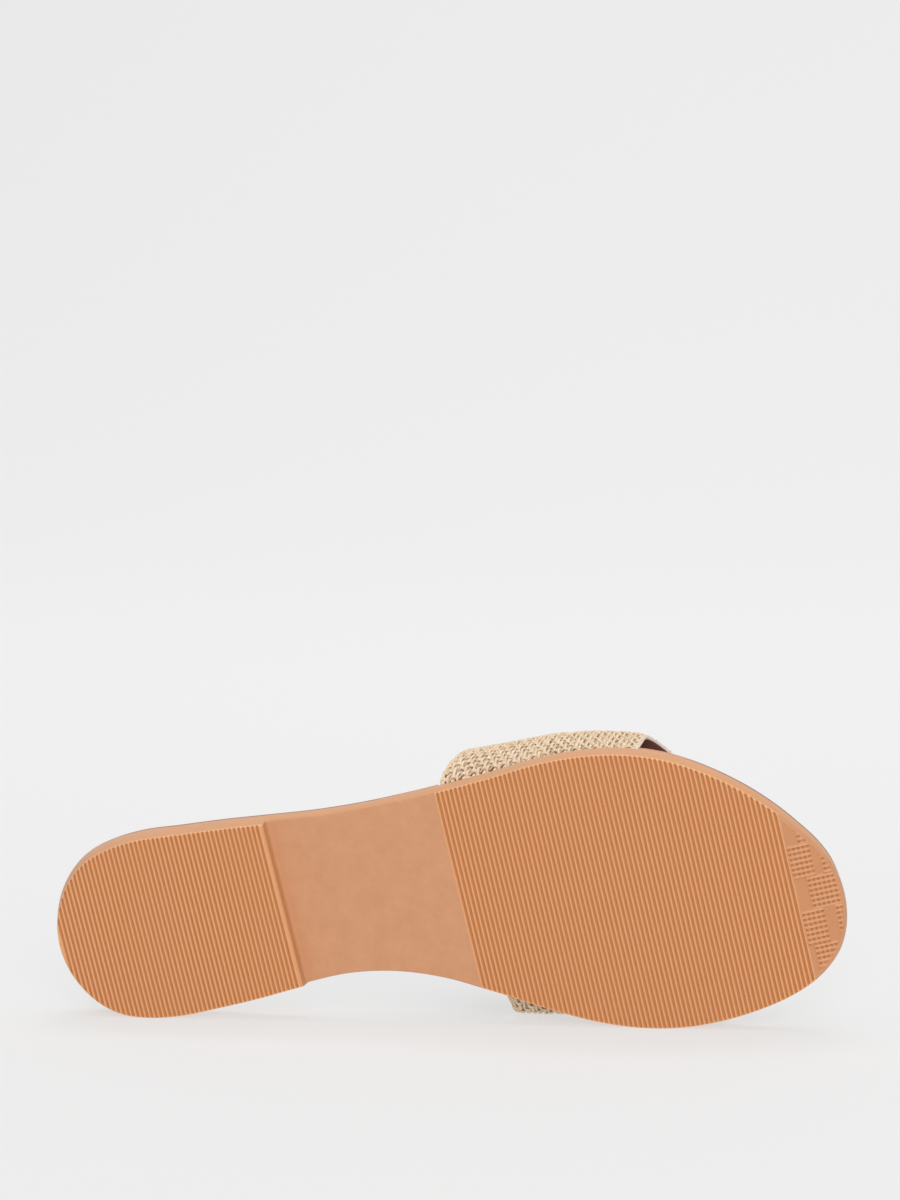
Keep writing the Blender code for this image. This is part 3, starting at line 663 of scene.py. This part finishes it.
lining_place, lining_over = np.meshgrid(np.linspace(0, 1, LINING_COLUMNS), np.linspace(0, 1, LINING_ROWS))
pared = ramp(np.minimum(lining_place, 1 - lining_place) * strap_length, 0.0, LINING_PARING)[..., None]
skin, outward = (on_strap(table, lining_place, lining_over) for table in (strap_skin, strap_out))
lining_outer = skin - outward * (LINING_OUTER_AT_EDGE + (LINING_OUTER - LINING_OUTER_AT_EDGE) * pared)
lining_inner = skin - outward * (LINING_INNER_AT_EDGE + (LINING_INNER - LINING_INNER_AT_EDGE) * pared)
lining_rings = np.concatenate((lining_outer, lining_inner[:, ::-1]), axis=1)
lining = add_mesh("strap_lining", lining_rings.reshape(-1, 3),
                  grid_faces(*lining_rings.shape[:2], closed=True, flip=True).tolist())
raw_side = np.zeros(lining_rings.shape[:2], np.float32)
raw_side[:, :LINING_COLUMNS] = 1
lining.data.attributes.new("raw_side", "FLOAT", "POINT").data.foreach_set("value", raw_side.reshape(-1))

# Lining leather, split thin and dyed on one side: a dull, slightly napped face of uneven dark brown, and a
# tan back where the dye didn't reach.
dark_leather = new_material("lining_leather")
place = add_node(dark_leather, "ShaderNodeTexCoord")
nap = add_node(dark_leather, "ShaderNodeTexNoise", {"Scale": per_metre(3), "Detail": 5.0},
               {"Vector": place.outputs["Object"]})
dyed_colour = add_node(dark_leather, "ShaderNodeMixRGB",
                       {"Color1": linear("#70402E"), "Color2": linear("#8A5642")},
                       {"Fac": nap.outputs["Fac"]})
raw_share = add_node(dark_leather, "ShaderNodeAttribute", {"attribute_name": "raw_side"})
dark_colour = add_node(dark_leather, "ShaderNodeMixRGB", {"Color2": linear("#9A7040")},
                       {"Fac": raw_share.outputs["Fac"], "Color1": dyed_colour.outputs["Color"]})
nap_bump = add_node(dark_leather, "ShaderNodeBump", {"Strength": 0.2, "Distance": 0.0001},
                    {"Height": nap.outputs["Fac"]})
dark_shader = add_node(dark_leather, "ShaderNodeBsdfPrincipled", {"Roughness": 0.65, "IOR": 1.5},
                       {"Base Color": dark_colour.outputs["Color"], "Normal": nap_bump.outputs["Normal"]})
add_node(dark_leather, "ShaderNodeOutputMaterial", {}, {"Surface": dark_shader.outputs["BSDF"]})
lining.data.materials.append(dark_leather)
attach(lining, "root")
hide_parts("strap")

# Strap edging. A narrow tape of pale cotton, rolled over the strap's front and back edges and glued down. It
# closes the cut ends of the weave and holds weave and lining together.
EDGINGS = (  # name, place on the strap, half its depth, half its width, how far its middle is below the skin
    ("strap_edging_back", 0.0, 0.5, 0.25, 0.9),
    ("strap_edging_front", 1.0, 0.55, 0.32, 0.65),
)
EDGING_ROWS, EDGING_COLUMNS = 300, 10
edging_over = np.linspace(0, 1, EDGING_ROWS)
edging_angles = np.linspace(0, 2 * np.pi, EDGING_COLUMNS, endpoint=False)
edging_pieces = []
for name, place, half_depth, half_width, below in EDGINGS:
    edging_place = np.full(EDGING_ROWS, place)
    skin, outward = (on_strap(table, edging_place, edging_over) for table in (strap_skin, strap_out))
    forward = np.gradient(skin, axis=0)
    forward /= np.linalg.norm(forward, axis=-1, keepdims=True)
    beside = np.cross(outward, forward)
    rings = (skin[:, None] + outward[:, None] * (half_depth * np.sin(edging_angles) - below)[:, None]
             + beside[:, None] * (half_width * np.cos(edging_angles))[:, None])
    edging_faces = grid_faces(EDGING_ROWS, EDGING_COLUMNS, closed=True, flip=True)
    edging_pieces.append(add_mesh(name, rings.reshape(-1, 3), edging_faces.tolist()))

# Cotton tape, woven: matt cream, with the small unevenness of its threads.
tape = new_material("cotton_tape")
place = add_node(tape, "ShaderNodeTexCoord")
threads = add_node(tape, "ShaderNodeTexNoise", {"Scale": per_metre(0.7), "Detail": 2.0},
                   {"Vector": place.outputs["Object"]})
tape_colour = add_node(tape, "ShaderNodeMixRGB", {"Color1": linear("#E6D4C2"), "Color2": linear("#F8EEE4")},
                       {"Fac": threads.outputs["Fac"]})
thread_bump = add_node(tape, "ShaderNodeBump", {"Strength": 0.25, "Distance": 0.0001},
                       {"Height": threads.outputs["Fac"]})
tape_shader = add_node(tape, "ShaderNodeBsdfPrincipled", {"Roughness": 0.8, "IOR": 1.45},
                       {"Base Color": tape_colour.outputs["Color"], "Normal": thread_bump.outputs["Normal"]})
add_node(tape, "ShaderNodeOutputMaterial", {}, {"Surface": tape_shader.outputs["BSDF"]})
for piece in edging_pieces:
    piece.data.materials.append(tape)
    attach(piece, "root")
    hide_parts("strap")

# Studio. A pale paper sweep: floor, a wide curve and a backdrop, in metres. A large softbox hangs overhead, a
# smaller one stands near the camera, and a third lights the backdrop.
SWEEP_HALF_WIDTH = 5.0
SWEEP_FRONT, SWEEP_BACK = -4.0, 1.4
SWEEP_RADIUS, SWEEP_CURVE_STEPS = 2.0, 33
SWEEP_TOP = 4.0
curve = np.linspace(0, np.pi / 2, SWEEP_CURVE_STEPS)
curve_line = zip(SWEEP_BACK + SWEEP_RADIUS * np.sin(curve), SWEEP_RADIUS * (1 - np.cos(curve)))
sweep_line = [(SWEEP_FRONT, 0.0), *curve_line, (SWEEP_BACK + SWEEP_RADIUS, SWEEP_TOP)]
sweep_points = [(x, y, z) for y, z in sweep_line for x in (-SWEEP_HALF_WIDTH, SWEEP_HALF_WIDTH)]
sweep_mesh = bpy.data.meshes.new("studio_sweep")
sweep_mesh.from_pydata(sweep_points, [], [(i + 1, i, i + 2, i + 3) for i in range(0, len(sweep_points) - 2, 2)])
sweep_mesh.shade_smooth()
sweep = bpy.data.objects.new("studio_sweep", sweep_mesh)
bpy.context.scene.collection.objects.link(sweep)

# Backdrop paper, uncoated: evenly pale and matt. It glows a little, like paper that studio lamps light from
# all sides, so the shades on it stay soft.
paper = new_material("backdrop_paper")
paper_shader = add_node(paper, "ShaderNodeBsdfPrincipled", {
    "Base Color": linear("#8A8A8A"), "Roughness": 0.9, "Specular IOR Level": 0.1,
    "Emission Color": (1.0, 1.0, 1.0, 1.0), "Emission Strength": 0.585,
})
add_node(paper, "ShaderNodeOutputMaterial", {}, {"Surface": paper_shader.outputs["BSDF"]})
sweep_mesh.materials.append(paper)

WORLD_STRENGTH = 0.22
world = bpy.data.worlds.new("studio_light")
world.use_nodes = True
world.node_tree.nodes["Background"].inputs["Color"].default_value = (1.0, 1.0, 1.0, 1.0)
world.node_tree.nodes["Background"].inputs["Strength"].default_value = WORLD_STRENGTH
bpy.context.scene.world = world
SOFTBOXES = (  # name, place, what it points at, size across, power
    ("overhead_softbox", (0.0, -0.6, 3.2), (0.0, -0.4, 0.0), 4.0, 54.0),
    ("front_softbox", (0.5, -2.2, 0.9), (0.0, 0.0, 0.05), 1.0, 30.5),
    ("backdrop_softbox", (0.0, 0.9, 2.1), (0.0, 2.6, 0.6), 2.0, 25.0),
)
for name, location, target, size, power in SOFTBOXES:
    light_data = bpy.data.lights.new(name, "AREA")
    light_data.shape = "DISK"
    light_data.size = size
    light_data.energy = power
    light = bpy.data.objects.new(name, light_data)
    light.location = location
    light.rotation_euler = (Vector(target) - light.location).to_track_quat("-Z", "Y").to_euler()
    bpy.context.scene.collection.objects.link(light)
bpy.context.scene.view_settings.view_transform = "Standard"

# Camera. It looks at the tread from a little above the floor, through a long lens. Its place and its three
# directions are given in the shoe's own frame.
CAMERA_PLACE = (452.755, -340.457, -1353.218)
CAMERA_RIGHT = (0.95793, 0.23184, 0.16916)
CAMERA_DOWN = (-0.19231, 0.95605, -0.22129)
CAMERA_FORWARD = (-0.21303, 0.17945, 0.96042)
camera_data = bpy.data.cameras.new("camera")
camera_data.lens = 135.0
camera_data.sensor_width = 36.0
camera_data.clip_end = 100.0
camera = bpy.data.objects.new("camera", camera_data)
right, down, forward = (Vector(np.array(axis) @ shoe_axes).normalized()
                        for axis in (CAMERA_RIGHT, CAMERA_DOWN, CAMERA_FORWARD))
camera_turn = Matrix((right, -down, -forward)).transposed()
camera.matrix_world = Matrix.Translation(lay(CAMERA_PLACE)) @ camera_turn.to_4x4()
bpy.context.scene.collection.objects.link(camera)
bpy.context.scene.camera = camera
